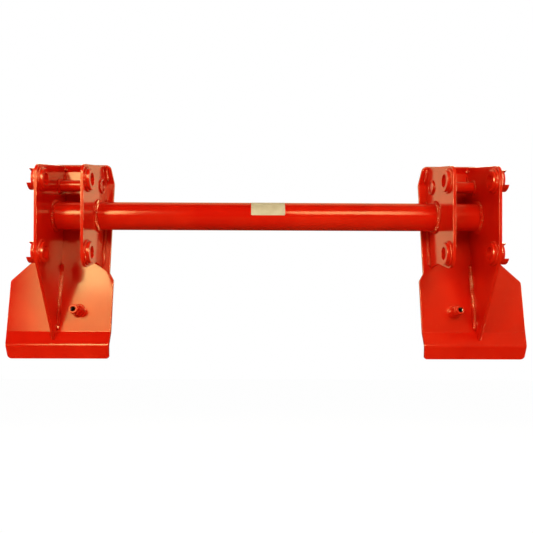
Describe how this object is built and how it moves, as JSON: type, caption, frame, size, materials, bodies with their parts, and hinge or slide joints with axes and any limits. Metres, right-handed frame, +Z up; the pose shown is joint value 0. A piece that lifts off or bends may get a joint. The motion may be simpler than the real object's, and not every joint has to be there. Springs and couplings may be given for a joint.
{
  "type": "pin-on quick hitch carrier",
  "caption": "Welded loader quick hitch frame: bent carrier plates with paired pin ears and latch posts, joined by a round cross tube.",
  "frame": {"origin": "under the middle of the hitch, at the height of the lips' lower edges and half way between the ears' front edges and the plates' attachment faces", "axes": "+X along the cross tube, +Y towards the implement, +Z up with the carrier plates upright"},
  "size_m": [1.13, 0.1838, 0.4321],
  "materials": {
    "bush_paint": "gloss",
    "ear_paint": "gloss",
    "plate_paint": "gloss",
    "post_paint": "gloss",
    "tube_paint": "gloss",
    "weld_paint": "gloss"
  },
  "bodies": {
    "root": {"left_bar_welds": "weld_paint", "left_boss_welds": "weld_paint", "left_carrier_plate": "plate_paint", "left_collar_welds": "weld_paint", "left_cross_bar": "tube_paint", "left_inner_ear": "ear_paint", "left_inner_ear_welds": "weld_paint", "left_latch_post": "post_paint", "left_lower_pin_boss": "bush_paint", "left_lower_pin_collar": "bush_paint", "left_outer_ear": "ear_paint", "left_outer_ear_welds": "weld_paint", "left_post_weld": "weld_paint", "left_stiffener_welds": "weld_paint", "left_top_stiffener": "bush_paint", "left_tube_welds": "weld_paint", "left_upper_pin_boss": "bush_paint", "left_upper_pin_collar": "bush_paint", "main_cross_tube": "tube_paint", "right_bar_welds": "weld_paint", "right_boss_welds": "weld_paint", "right_carrier_plate": "plate_paint", "right_collar_welds": "weld_paint", "right_cross_bar": "tube_paint", "right_inner_ear": "ear_paint", "right_inner_ear_welds": "weld_paint", "right_latch_post": "post_paint", "right_lower_pin_boss": "bush_paint", "right_lower_pin_collar": "bush_paint", "right_outer_ear": "ear_paint", "right_outer_ear_welds": "weld_paint", "right_post_weld": "weld_paint", "right_stiffener_welds": "weld_paint", "right_top_stiffener": "bush_paint", "right_tube_welds": "weld_paint", "right_upper_pin_boss": "bush_paint", "right_upper_pin_collar": "bush_paint"}
  },
  "joints": []
}
